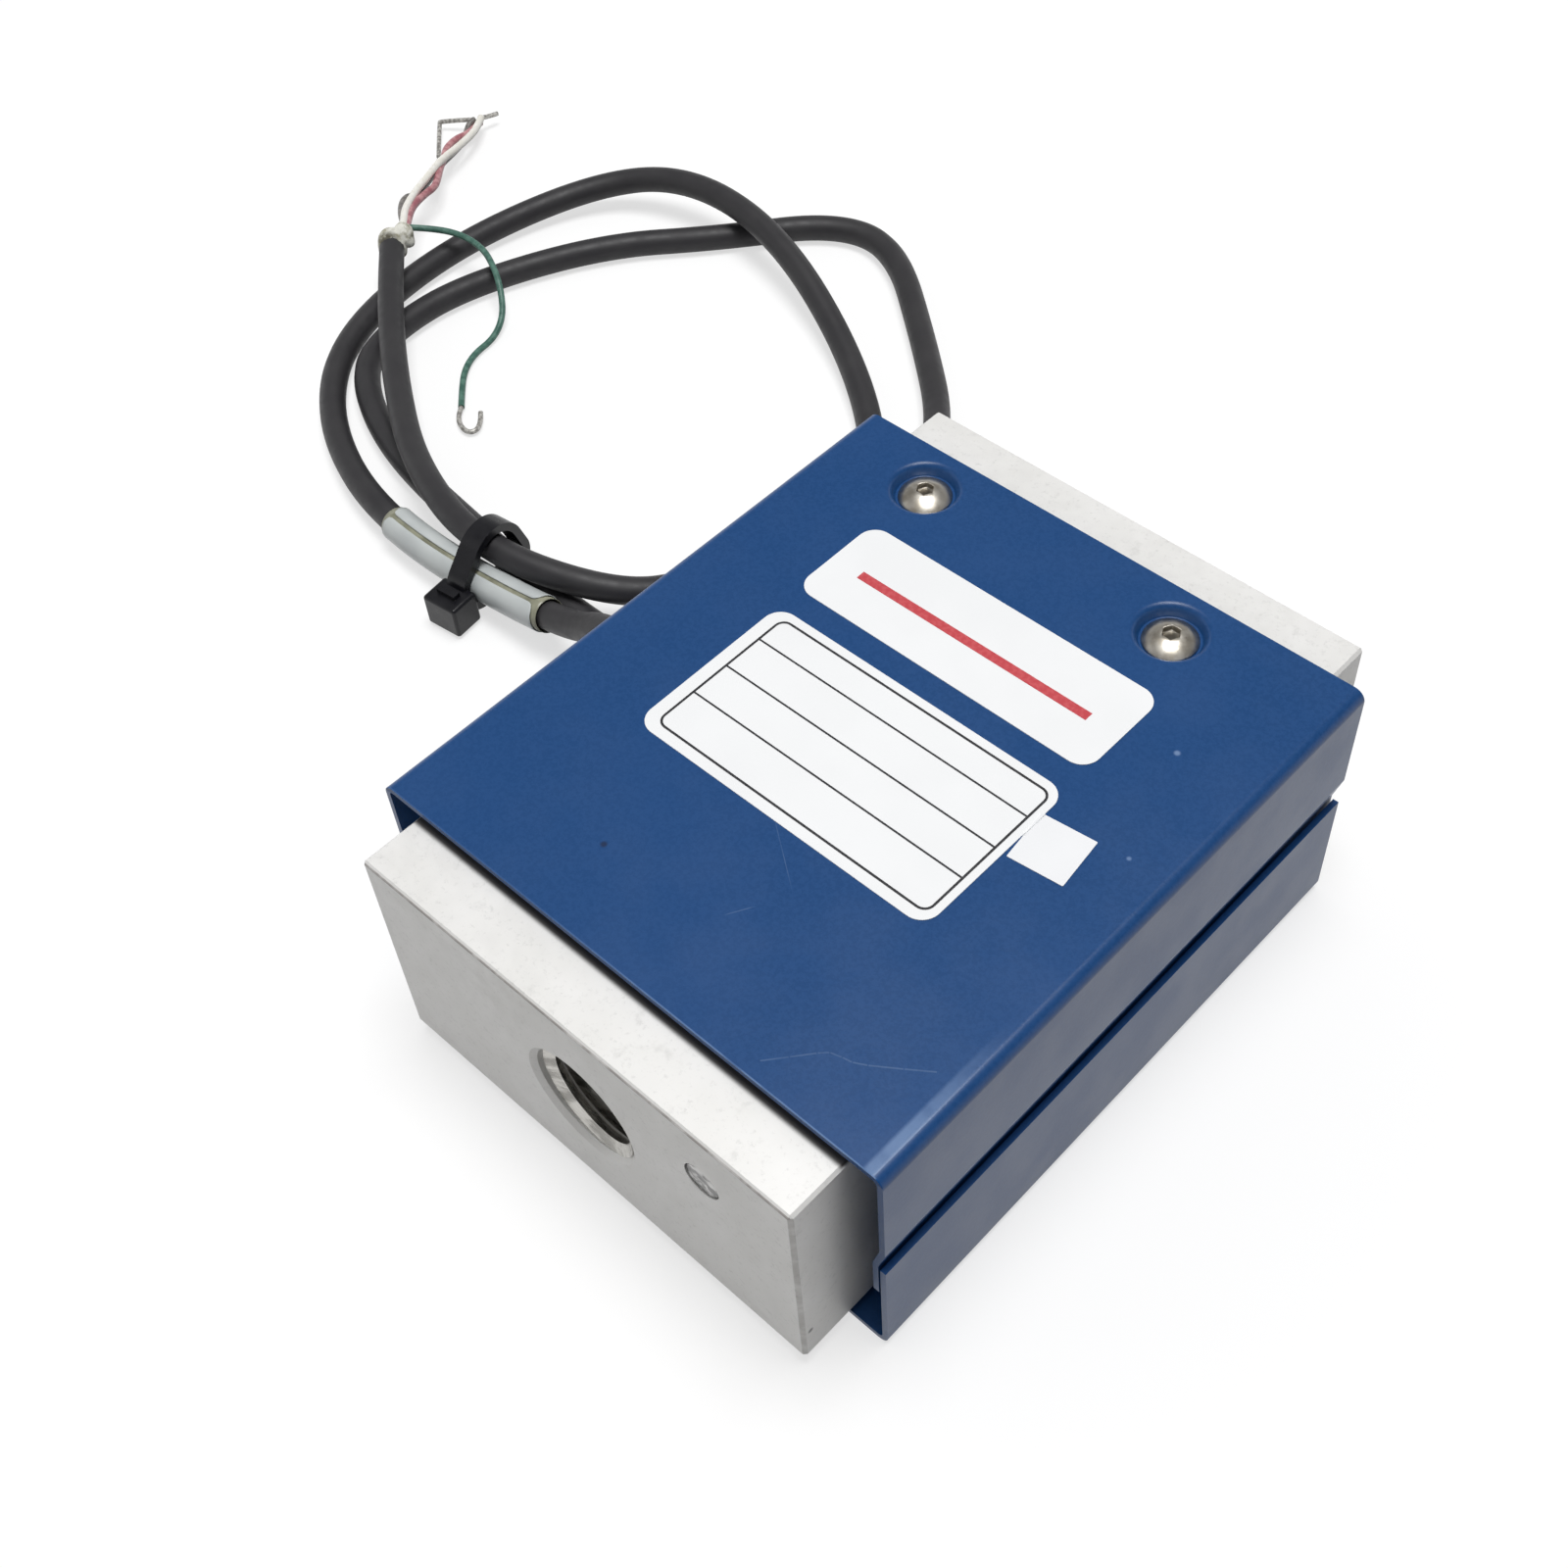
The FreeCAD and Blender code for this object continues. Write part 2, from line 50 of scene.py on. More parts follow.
# The cable and what is on it
cable_radius = 1.65 * MM
cable_route = [mm(*p) for p in (
    (-21.0, 3.0, 14.5), (-38.5, 3.0, 14.5), (-50.5, 4.9, 3.9), (-79.5, 2.9, 3.0),
    (-100.2, 10.0, 1.75), (-112.5, 22.3, 1.7), (-116.1, 43.0, 1.7), (-110.4, 64.3, 2.8),
    (-98.0, 71.5, 5.9), (-79.2, 69.8, 5.9), (-56.2, 59.6, 1.9), (-40.5, 45.5, 1.7),
    (-34.6, 30.0, 1.75), (-35.8, 16.5, 1.7), (-43.5, 8.7, 1.7), (-56.5, 8.4, 2.1),
    (-68.0, 8.7, 3.5), (-90.1, 12.2, 1.75), (-105.0, 19.1, 1.7), (-108.6, 27.4, 1.7),
    (-108.2, 39.5, 1.7), (-100.3, 56.9, 1.75), (-89.3, 68.2, 1.7), (-79.5, 80.2, 1.75),
    (-69.6, 81.4, 1.7), (-54.0, 69.0, 1.7), (-42.5, 58.8, 2.1), (-35.2, 47.0, 5.9),
    (-39.5, 32.0, 5.9), (-45.0, 19.5, 3.0), (-49.8, 11.2, 4.9), (-65.5, 5.5, 6.6),
    (-82.5, 10.2, 5.9), (-97.0, 19.3, 5.8), (-110.0, 29.3, 5.9), (-118.5, 36.9, 6.0))]
sleeve_start, sleeve_end = 33.6 * MM, 60.6 * MM
wrap_start, wrap_end = 34.5 * MM, 60.2 * MM
film_radius, wrap_radius, film_wall = 1.98 * MM, 2.07 * MM, 0.08 * MM
wrap_corner, wrap_seam, wrap_seam_angle = 0.9 * MM, 0.5 * MM, math.radians(105)
film_step, wrap_step = 0.8 * MM, 0.4 * MM

core_radii = {"white": 0.52 * MM, "red": 0.50 * MM, "black": 0.46 * MM, "green": 0.42 * MM}
tip_radius = 0.32 * MM
core_routes = {
    "white": (
        (-117.43, 37.88, 6.88), (-119.77, 39.9, 6.23), (-122.51, 42.3, 5.72),
        (-125.17, 46.09, 5.08), (-127.31, 50.11, 4.48), (-129.67, 54.18, 3.86),
        (-130.75, 58.13, 3.37), (-132.32, 62.24, 2.83), (-134.06, 64.79, 2.44),
        (-135.21, 66.2, 2.21)),
    "red": (
        (-117.13, 37.98, 6.58), (-119.72, 40.43, 5.74), (-121.91, 42.58, 5.28),
        (-123.31, 44.44, 4.89), (-124.58, 47.29, 4.44), (-125.12, 49.36, 4.14),
        (-126.8, 51.25, 3.76), (-129.12, 53.54, 3.26), (-130.92, 55.65, 2.88),
        (-132.94, 57.77, 2.59), (-133.66, 60.18, 2.5), (-133.97, 62.27, 1.98),
        (-134.95, 64.88, 1.47), (-135.59, 66.12, 1.27)),
    "black": (
        (-117.53, 37.68, 6.38), (-119.71, 39.83, 5.3), (-123.66, 42.18, 4.93),
        (-125.95, 44.77, 4.66), (-125.44, 46.49, 4.21), (-127.85, 49.84, 3.1),
        (-129.6, 52.65, 2.6), (-131.2, 55.4, 2.1), (-132.54, 58.76, 1.65),
        (-133.95, 61.52, 1.19), (-135.53, 63.69, 1.41), (-135.92, 64.62, 1.88),
        (-135.86, 65.52, 2.0)),
    "green": (
        (-118.26, 38.89, 6.6), (-116.61, 41.01, 6.1), (-112.81, 43.4, 5.7),
        (-108.47, 43.84, 5.1), (-103.95, 41.87, 4.8), (-101.33, 40.32, 3.4),
        (-99.54, 38.57, 1.5), (-98.18, 35.59, 0.6), (-97.81, 31.88, 0.6),
        (-96.25, 28.84, 0.6), (-93.55, 26.12, 0.6), (-91.22, 24.01, 0.6)),
}
tip_routes = {
    "white": (
        (-135.21, 66.2, 2.21), (-135.04, 66.89, 2.0), (-134.68, 68.8, 1.8)),
    "black": (
        (-135.86, 65.52, 2.0), (-137.69, 64.48, 1.7), (-140.35, 62.57, 1.3),
        (-140.08, 62.34, 1.3), (-137.49, 59.89, 0.9), (-134.89, 57.5, 0.45)),
    "green": (
        (-91.22, 24.01, 0.6), (-90.01, 22.13, 0.6), (-86.89, 21.19, 0.6),
        (-86.32, 23.02, 0.6), (-88.61, 24.93, 0.6)),
}

# The frayed braid: a lump beside the cable's end, and a collar set back from it. The lumps are
# how many, and how high for a ball of radius 1.
tuft_offset, tuft_half_sizes, tuft_lumps = mm(1.37, 0.78, 0.58), mm(1.42, 1.42, 1.5), (60, 0.13)
collar_setback, collar_half_sizes, collar_lumps = 1.25 * MM, mm(1.84, 1.84, 1.9), (90, 0.09)
# Where the braid is olive brown and darkened with painted shade, by the jacket's end
by_jacket_place, by_jacket_reach = mm(-116.7, 34.9, 7.6), 2.1 * MM

# The block, its threads, and the labels
front_y, rear_y, middle_z = -38.1 * MM, 38.1 * MM, 14.5 * MM
thread_major, thread_minor, thread_pitch, thread_length = 6.03 * MM, 5.05 * MM, 1.75 * MM, 12.6 * MM
thread_inset = 1.0 * MM
front_stop, rear_stop = mm(15.2, 20.3), mm(-15.2, 8.7)
# The seal over a stop screw: distance from its middle and depth below the face
seal_profile = tuple(mm(*p) for p in (
    (0.0, 0.10), (0.5, 0.12), (1.0, 0.07), (1.45, 0.11), (1.75, 0.09), (1.88, 0.20), (1.90, 0.48)))
# Where the painted shade at the seal's rim starts and where it is full
seal_rim_shade = mm(1.62, 1.82)
weld_distance = 0.001 * MM
label_top = 29.1 * MM
ink_thickness, ink_line = 0.02 * MM, 0.24 * MM
stripe_size, stripe_centre = mm(27.0, 1.0), mm(-0.9, 14.0)
frame_left, frame_right, frame_top, frame_bottom = mm(-16.1, 15.7, 5.2, -11.4)
frame_corner = 1.1 * MM
rule_places = mm(1.85, -2.45, -6.65)

# The floors of the cover screws' sockets
socket_floors = tuple(mm(*p) for p in (
    (-17.6, 27.0, 28.0), (11.9, 27.0, 28.0), (17.6, -27.0, 1.0), (-11.9, -27.0, 1.0)))
socket_reach = 1.15 * MM

# Wear on the upper cover's top: places in millimetres, each scuff with its half width and fade
cover_top = 29.0
long_scuff = ((15.0, -30.4), (16.5, -28.6), (17.9, -26.9), (18.6, -26.2), (19.6, -25.9),
              (20.5, -25.7), (21.6, -25.1), (23.9, -23.5), (26.0, -22.0))
scuff_lines = tuple((*pair, 0.11, 0.1) for pair in zip(long_scuff, long_scuff[1:])) + (
    ((3.1, -22.5), (4.6, -19.9), 0.09, 0.8), ((-1.0, -12.0), (6.0, -17.0), 0.06, 2.5))
cover_specks = (
    ((-9.64, -23.83), 0.45, (0.008, 0.014, 0.040, 1)), ((20.82, 15.76), 0.4, (0.20, 0.30, 0.50, 1)),
    ((24.6, 4.0), 0.3, (0.16, 0.26, 0.46, 1)))

# Bands of painted highlight, painted shade and darker edges: where each starts, is full, is full
# until, and ends
bend_highlight_x = mm(27.05, 27.5, 28.24, 28.34)
gap_shade_y = mm(-32.60, -32.05, -31.4, -31.0)
top_edge_z = mm(26.78, 26.86, 26.98, 27.06)
# Where they grow from none to full along another axis
highlight_z, bend_highlight_y = mm(28.80, 28.97), mm(-14, -29)
front_highlight_x, front_highlight_y, front_highlight_z = mm(-14, 14), mm(-31.84, -31.92), mm(28.86, 28.94)
front_gloss_y, front_gloss_z = mm(-31.86, -31.94), mm(28.1, 28.3)
gap_shade_z, top_edge_y = mm(26.9, 27.1), mm(-37.9, -37.95)
corner_edge = mm(63.10, 63.18)      # x less y
nick_place, nick_reach = mm(25.4, -37.2, 5.9), 0.42 * MM


# The photograph's camera
def add_camera():
    lens = bpy.data.cameras.new("photo_camera")
    lens.lens, lens.sensor_width = 46.3, 36.0
    lens.clip_start, lens.clip_end = 0.01, 20.0
    camera = bpy.data.objects.new("photo_camera", lens)
    bpy.context.scene.collection.objects.link(camera)
    right = Vector((0.72608, 0.68553, -0.05343)).normalized()
    ahead = Vector((-0.46063, 0.42725, -0.77800)).normalized()
    up = right.cross(ahead)
    turn = Matrix((right, up, -ahead)).transposed().to_4x4()
    camera.matrix_world = Matrix.Translation((0.07775, -0.08350, 0.16464)) @ turn
    bpy.context.scene.camera = camera


# Materials
def srgb(red, green, blue):
    """A colour as an eye reads it on a screen, 0 to 255, made linear for a shader."""
    def linear(c):
        c /= 255
        return c / 12.92 if c <= 0.04045 else ((c + 0.055) / 1.055) ** 2.4
    return (linear(red), linear(green), linear(blue), 1.0)


def feed(material, socket, value):
    """Gives a socket a value, or links it to the output that drives it."""
    if isinstance(value, bpy.types.NodeSocket):
        material.node_tree.links.new(value, socket)
    else:
        socket.default_value = value


def add_node(material, kind, inputs=None, **settings):
    node = material.node_tree.nodes.new(kind)
    for name, value in settings.items():
        setattr(node, name, value)
    for name, value in (inputs or {}).items():
        feed(material, node.inputs[name], value)
    return node


def new_material(name, **shader_values):
    """A principled material. A value is a number, a colour or a socket that drives the input."""
    material = bpy.data.materials.new(name)
    material.use_nodes = True
    set_shader(material, **shader_values)
    return material


def set_shader(material, **shader_values):
    shader = material.node_tree.nodes["Principled BSDF"]
    for name, value in shader_values.items():
        feed(material, shader.inputs[name.replace("_", " ")], value)


def place_on_object(material, stretch=(1, 1, 1), turn=(0, 0, 0)):
    place = add_node(material, "ShaderNodeTexCoord").outputs["Object"]
    return add_node(material, "ShaderNodeMapping", {
        "Vector": place, "Scale": stretch, "Rotation": turn}).outputs["Vector"]


def noise(material, scale, detail=2.0, roughness=0.5, stretch=(1, 1, 1), turn=(0, 0, 0)):
    place = place_on_object(material, stretch, turn)
    return add_node(material, "ShaderNodeTexNoise", {
        "Vector": place, "Scale": scale, "Detail": detail, "Roughness": roughness}).outputs["Fac"]


def ranged(material, value, low, high, to_low=0.0, to_high=1.0, smooth=True):
    kind = "SMOOTHSTEP" if smooth else "LINEAR"
    return add_node(material, "ShaderNodeMapRange", {
        "Value": value, "From Min": low, "From Max": high, "To Min": to_low, "To Max": to_high},
        interpolation_type=kind).outputs["Result"]


def calculated(material, operation, first, second=0.0):
    node = add_node(material, "ShaderNodeMath", operation=operation)
    for socket, value in zip(node.inputs, (first, second)):
        feed(material, socket, value)
    return node.outputs["Value"]


def product(material, first, second):
    return calculated(material, "MULTIPLY", first, second)


def between(material, value, start, full, full_until, end):
    """Rises from 0 at start to 1 at full, and falls from full_until to 0 again at end."""
    return product(material, ranged(material, value, start, full),
                   ranged(material, value, end, full_until))


def mixed(material, share, first, second):
    node = add_node(material, "ShaderNodeMix", data_type="RGBA")
    for name, value in (("Factor_Float", share), ("A_Color", first), ("B_Color", second)):
        feed(material, next(s for s in node.inputs if s.identifier == name), value)
    return next(s for s in node.outputs if s.identifier == "Result_Color")


def tinted(material, tone, mask, strength, colour):
    """A tone with a colour laid over it where the mask says, at the given strength."""
    return mixed(material, product(material, mask, strength), tone, colour)


def relief(material, height, depth, strength=1.0, under=None):
    inputs = {"Height": height, "Distance": depth, "Strength": strength}
    if under is not None:
        inputs["Normal"] = under
    return add_node(material, "ShaderNodeBump", inputs).outputs["Normal"]


def coordinates(material):
    place = add_node(material, "ShaderNodeTexCoord").outputs["Object"]
    split = add_node(material, "ShaderNodeSeparateXYZ", {"Vector": place})
    return [split.outputs[axis] for axis in "XYZ"]


def near_point(material, point, reach):
    """1 at a point of the part, fading to 0 at reach."""
    place = add_node(material, "ShaderNodeTexCoord").outputs["Object"]
    gap = add_node(material, "ShaderNodeVectorMath", {0: place, 1: point}, operation="DISTANCE")
    return ranged(material, gap.outputs["Value"], 0.3 * reach, reach, 1.0, 0.0)


def near_line(material, start, end, reach, fade):
    """1 along a straight scratch on the upper cover, 0 at reach beside it and past its ends."""
    middle = (Vector(start) + Vector(end)) / 2
    along = Vector(end) - Vector(start)
    angle = math.atan2(along.y, along.x)
    place = add_node(material, "ShaderNodeTexCoord").outputs["Object"]
    moved = add_node(material, "ShaderNodeVectorMath", {0: place, 1: tuple(-middle)},
                     operation="ADD")
    turned = add_node(material, "ShaderNodeVectorRotate", {
        "Vector": moved.outputs["Vector"], "Angle": -angle}, rotation_type="Z_AXIS")
    split = add_node(material, "ShaderNodeSeparateXYZ", {"Vector": turned.outputs["Vector"]})
    beside = calculated(material, "ABSOLUTE", split.outputs["Y"])
    past = calculated(material, "ABSOLUTE", split.outputs["X"])
    line = ranged(material, beside, 0.2 * reach, reach, 1.0, 0.0)
    ends = ranged(material, past, along.length / 2 - fade, along.length / 2, 1.0, 0.0)
    return product(material, line, ends)


def scuffed(material, paint):
    """Thin pale scuffs and small specks on the upper cover's top."""
    scuffs = None
    for start, end, reach, fade in scuff_lines:
        line = near_line(material, mm(*start, cover_top), mm(*end, cover_top),
                         reach * MM, fade * MM)
        scuffs = line if scuffs is None else calculated(material, "MAXIMUM", scuffs, line)
    broken = ranged(material, noise(material, 300, 3.0), 0.2, 0.6, 0.35, 1.0)
    scuffs = product(material, scuffs, broken)
    paint = tinted(material, paint, scuffs, 0.19, srgb(140, 165, 196))
    for place, reach, tone in cover_specks:
        speck = near_point(material, mm(*place, cover_top), reach * MM)
        paint = tinted(material, paint, speck, 0.75, tone)
    return paint


def painted_edge_highlights(material, paint):
    """Painted highlights: a pale band along the right bend and a pale line along the front edge."""
    x, y, z = coordinates(material)
    bend = product(material, between(material, x, *bend_highlight_x), ranged(material, y, *bend_highlight_y))
    front = product(material, ranged(material, y, *front_highlight_y),
                    ranged(material, z, *front_highlight_z))
    front = product(material, front, ranged(material, x, *front_highlight_x, 0.30, 1.0))
    # The mask of the painted highlights on the bend and the front edge, laid on in pale blue
    worn = product(material, calculated(material, "MAXIMUM", bend, front),
                   ranged(material, z, *highlight_z))
    patchy = ranged(material, noise(material, 420, 4.0), 0.2, 0.55, 0.55, 1.0)
    worn = product(material, worn, patchy)
    return tinted(material, paint, worn, 0.52, srgb(132, 160, 200))


def cover_paint_finish():
    """Half-gloss blue paint with fine orange peel, scuffed, and with painted highlights along a
    bend and the front edge.
    """
    material = new_material("cover_paint_blue", IOR=1.5)
    cloud = noise(material, 60, 3.0)
    blue = mixed(material, ranged(material, cloud, 0.25, 0.75),
                 (0.0056, 0.055, 0.186, 1), (0.0080, 0.060, 0.200, 1))
    grain = ranged(material, noise(material, 2600, 2.0, 0.7), 0.36, 0.62, 0.0, 0.6)
    blue = mixed(material, grain, blue, (0.0135, 0.072, 0.226, 1))
    # Scuffs, then the painted highlights on the right bend and the front edge
    worn = painted_edge_highlights(material, scuffed(material, blue))
    rough = ranged(material, noise(material, 160, 3.0), 0.3, 0.7, 0.30, 0.36)
    peel = relief(material, noise(material, 1500, 2.0), 0.012 * MM, 0.5)
    peel = relief(material, noise(material, 5200, 2.0), 0.003 * MM, 0.5, peel)
    _, y, z = coordinates(material)
    edge = product(material, ranged(material, y, *front_gloss_y),
                   ranged(material, z, *front_gloss_z))
    gloss = ranged(material, edge, 0.0, 1.0, 0.39, 0.10)
    set_shader(material, Base_Color=worn, Roughness=rough, Normal=peel, Specular_IOR_Level=gloss)
    return material


def block_alloy_finish():
    """Blasted and clear anodised aluminium, lightly handled."""
    material = new_material("block_aluminium", Metallic=0.15, Specular_IOR_Level=0.5)
    cloud = noise(material, 110, 3.0)
    grey = mixed(material, ranged(material, cloud, 0.3, 0.75),
                 srgb(234, 233, 230), srgb(240, 239, 237))
    handled = ranged(material, noise(material, 420, 5.0, 0.65), 0.60, 0.76)
    grey = tinted(material, grey, handled, 0.24, srgb(168, 167, 164))
    nicks = noise(material, 1500, 2.0, 0.5, (1.0, 0.12, 0.5), (0.3, 0.2, 0.9))
    nicks = ranged(material, nicks, 0.76, 0.80)
    grey = tinted(material, grey, nicks, 0.5, srgb(120, 119, 118))
    specks = ranged(material, noise(material, 1900, 4.0, 0.75), 0.54, 0.72)
    grey = tinted(material, grey, specks, 0.22, srgb(160, 159, 157))
    x, y, z = coordinates(material)
    # Painted shade, for the dark gap under the upper cover's front edge
    gap_shade = product(material, between(material, y, *gap_shade_y),
                        ranged(material, z, *gap_shade_z))
    grey = tinted(material, grey, gap_shade, 0.92, srgb(44, 39, 40))
    top_edge = product(material, between(material, z, *top_edge_z),
                       ranged(material, y, *top_edge_y))
    corner = ranged(material, calculated(material, "SUBTRACT", x, y), *corner_edge, 0.0, 0.5)
    uneven = ranged(material, noise(material, 650, 3.0), 0.3, 0.6, 0.45, 1.0)
    edges = product(material, calculated(material, "MAXIMUM", top_edge, corner), uneven)
    grey = tinted(material, grey, edges, 0.75, srgb(112, 105, 100))
    nick = near_point(material, nick_place, nick_reach)
    grey = tinted(material, grey, nick, 0.8, srgb(52, 50, 48))
    rough = ranged(material, noise(material, 700, 4.0), 0.3, 0.7, 0.42, 0.52)
    grain = relief(material, noise(material, 9000, 3.0, 0.6), 0.010 * MM, 0.7)
    grain = relief(material, noise(material, 600, 3.0), 0.02 * MM, 0.20, grain)
    set_shader(material, Base_Color=grey, Roughness=rough, Normal=grain)
    return material


def bored_thread_finish():
    """The cut flanks of a thread: bright metal with streaks and fine turning lines."""
    material = new_material("thread_flanks", Metallic=1.0)
    lines = noise(material, 2500, 2.0, 0.5, (0.2, 3.0, 0.2))
    streaks = ranged(material, noise(material, 620, 3.0, 0.6, (0.5, 0.5, 1.6)), 0.40, 0.62)
    grey = mixed(material, lines, srgb(168, 166, 161), srgb(214, 212, 207))
    grey = tinted(material, grey, streaks, 0.55, srgb(84, 82, 78))
    rough = ranged(material, lines, 0.3, 0.7, 0.24, 0.36)
    set_shader(material, Base_Color=grey, Roughness=rough)
    return material


def stainless_finish():
    """Turned stainless steel with a warm cast and rolled highlights."""
    material = new_material("screw_stainless", Metallic=1.0)
    cloud = noise(material, 900, 3.0)
    steel = mixed(material, ranged(material, cloud, 0.35, 0.65),
                  srgb(182, 175, 162), srgb(206, 201, 191))
    stain = ranged(material, noise(material, 1300, 3.0, 0.6), 0.64, 0.76)
    steel = tinted(material, steel, stain, 0.5, srgb(118, 98, 68))
    # Painted shade on the floors of the sockets
    for place in socket_floors:
        socket = near_point(material, place, socket_reach)
        steel = tinted(material, steel, socket, 0.8, srgb(58, 52, 44))
    rough = ranged(material, noise(material, 1600, 3.0), 0.3, 0.7, 0.30, 0.38)
    worn = relief(material, noise(material, 900, 2.0), 0.006 * MM, 0.2)
    set_shader(material, Base_Color=steel, Roughness=rough, Normal=worn)
    return material


def stop_screw_finish():
    """The set screw under clear locking compound, streaked light and dark, with painted shade at
    its rim.
    """
    material = new_material("stop_screw_sealed", Metallic=0.35, Specular_IOR_Level=0.6)
    x, _, z = coordinates(material)
    streaks = noise(material, 1100, 3.0, 0.6, (0.6, 1.0, 1.0), (0.0, 0.7, 0.0))
    smear = ranged(material, streaks, 0.40, 0.60)
    grey = mixed(material, smear, srgb(86, 85, 84), srgb(214, 213, 211))
    rim = None
    for stop_x, stop_z in (front_stop, rear_stop):
        away = calculated(material, "POWER", calculated(material, "SUBTRACT", x, stop_x), 2.0)
        above = calculated(material, "POWER", calculated(material, "SUBTRACT", z, stop_z), 2.0)
        gap = calculated(material, "SQRT", calculated(material, "ADD", away, above))
        rim = gap if rim is None else calculated(material, "MINIMUM", rim, gap)
    # Painted shade at the rim of the seal, where the hole's wall shades it
    grey = mixed(material, ranged(material, rim, *seal_rim_shade), grey, srgb(58, 57, 58))
    skin = relief(material, noise(material, 1500, 3.0), 0.05 * MM, 0.8)
    set_shader(material, Base_Color=grey, Roughness=0.28, Normal=skin)
    return material


def jacket_finish():
    """Dark grey soft jacket, a little dusty."""
    material = new_material("cable_jacket_grey", Specular_IOR_Level=0.45)
    dust = ranged(material, noise(material, 200, 3.0, 0.6), 0.3, 0.75)
    grey = mixed(material, dust, srgb(44, 43, 46), srgb(53, 52, 54))
    rough = ranged(material, noise(material, 800, 3.0), 0.3, 0.7, 0.48, 0.58)
    skin = relief(material, noise(material, 3800, 3.0), 0.008 * MM, 0.35)
    set_shader(material, Base_Color=grey, Roughness=rough, Normal=skin)
    return material


def film_finish():
    """The clear sleeve over the cable, gone olive."""
    material = new_material("sleeve_clear_film", IOR=1.45)
    cloud = noise(material, 500, 3.0)
    tone = mixed(material, ranged(material, cloud, 0.35, 0.65),
                 srgb(138, 138, 118), srgb(172, 172, 150))
    set_shader(material, Base_Color=tone, Roughness=0.28, Transmission_Weight=0.2)
    return material


def wrap_finish():
    """The pale marker wrapped inside the sleeve."""
    material = new_material("sleeve_marker_white", Specular_IOR_Level=0.5)
    cloud = noise(material, 260, 2.0)
    tone = mixed(material, ranged(material, cloud, 0.3, 0.7),
                 srgb(192, 197, 197), srgb(204, 209, 208))
    set_shader(material, Base_Color=tone, Roughness=0.30)
    return material


def nylon_finish():
    """Black nylon of the tie, glossy with a soft mould skin."""
    material = new_material("tie_black_nylon", Specular_IOR_Level=0.36)
    cloud = noise(material, 700, 3.0)
    black = mixed(material, cloud, srgb(17, 17, 21), srgb(27, 27, 32))
    rough = ranged(material, cloud, 0.3, 0.7, 0.26, 0.36)
    skin = relief(material, noise(material, 2400, 2.0), 0.012 * MM, 0.4)
    set_shader(material, Base_Color=black, Roughness=rough, Normal=skin)
    return material


def rubber_finish():
    """Moulded black strain relief."""
    material = new_material("relief_rubber_black", Specular_IOR_Level=0.35)
    cloud = noise(material, 900, 3.0)
    black = mixed(material, cloud, srgb(26, 26, 28), srgb(40, 40, 42))
    skin = relief(material, noise(material, 5000, 3.0), 0.01 * MM, 0.5)
    set_shader(material, Base_Color=black, Roughness=0.6, Normal=skin)
    return material


def insulation_finish(name, dark, light):
    """Thin coloured insulation, slightly soiled near the cut end."""
    material = new_material(name, Specular_IOR_Level=0.45)
    cloud = ranged(material, noise(material, 900, 4.0, 0.6), 0.35, 0.65)
    tone = mixed(material, cloud, dark, light)
    skin = relief(material, noise(material, 5000, 2.0), 0.01 * MM, 0.4)
    set_shader(material, Base_Color=tone, Roughness=0.42, Normal=skin)
    return material


def tinned_finish():
    """Dull tin on stranded copper."""
    material = new_material("tinned_strands", Metallic=0.35)
    cloud = ranged(material, noise(material, 2600, 3.0), 0.35, 0.65)
    tin = mixed(material, cloud, srgb(142, 139, 134), srgb(212, 210, 204))
    lump = relief(material, noise(material, 3200, 3.0), 0.04 * MM, 0.6)
    set_shader(material, Base_Color=tin, Roughness=0.42, Normal=lump)
    return material


def braid_finish():
    """Frayed fibre and braid, off-white, going olive brown in its hollows, and olive brown darkened
    with painted shade by the jacket.
    """
    material = new_material("braid_frayed", Specular_IOR_Level=0.3)
    cloud = ranged(material, noise(material, 900, 4.0, 0.6), 0.36, 0.58)
    tone = mixed(material, cloud, srgb(168, 165, 146), srgb(232, 231, 222))
    patchy = ranged(material, noise(material, 1100, 3.0), 0.25, 0.5)
    # Olive brown by the jacket's end, darkened further with painted shade
    olive_and_shade_by_jacket = near_point(material, by_jacket_place, by_jacket_reach)
    olive_and_shade_by_jacket = product(material, olive_and_shade_by_jacket, patchy)
    tone = tinted(material, tone, olive_and_shade_by_jacket, 0.92, srgb(66, 61, 44))
    fluff = relief(material, noise(material, 5200, 3.0), 0.05 * MM, 0.7)
    set_shader(material, Base_Color=tone, Roughness=0.75, Normal=fluff)
    return material


def label_finish(name, low, high):
    """White printed film with a faint grain."""
    material = new_material(name, Specular_IOR_Level=0.4)
    cloud = noise(material, 120, 2.0)
    tone = mixed(material, ranged(material, cloud, 0.3, 0.7), low, high)
    grain = relief(material, noise(material, 4000, 2.0), 0.004 * MM, 0.3)
    set_shader(material, Base_Color=tone, Roughness=0.42, Normal=grain)
    return material


def ink_finish(name, thin, full):
    """Screen-printed ink, slightly uneven."""
    material = new_material(name, Specular_IOR_Level=0.4)
    tone = mixed(material, ranged(material, noise(material, 2500, 3.0), 0.35, 0.6), thin, full)
    set_shader(material, Base_Color=tone, Roughness=0.5)
    return material


def gauge_finish():
    """Foil grid under amber backing, its lines across the wall."""
    material = new_material("gauge_foil_amber", Specular_IOR_Level=0.5)
    _, _, z = coordinates(material)
    radians_a_metre = 14000.0
    stripe = calculated(material, "SINE", product(material, z, radians_a_metre))
    tone = mixed(material, ranged(material, stripe, -0.2, 0.2),
                 srgb(176, 112, 44), srgb(112, 62, 34))
    set_shader(material, Base_Color=tone, Roughness=0.3)
    return material


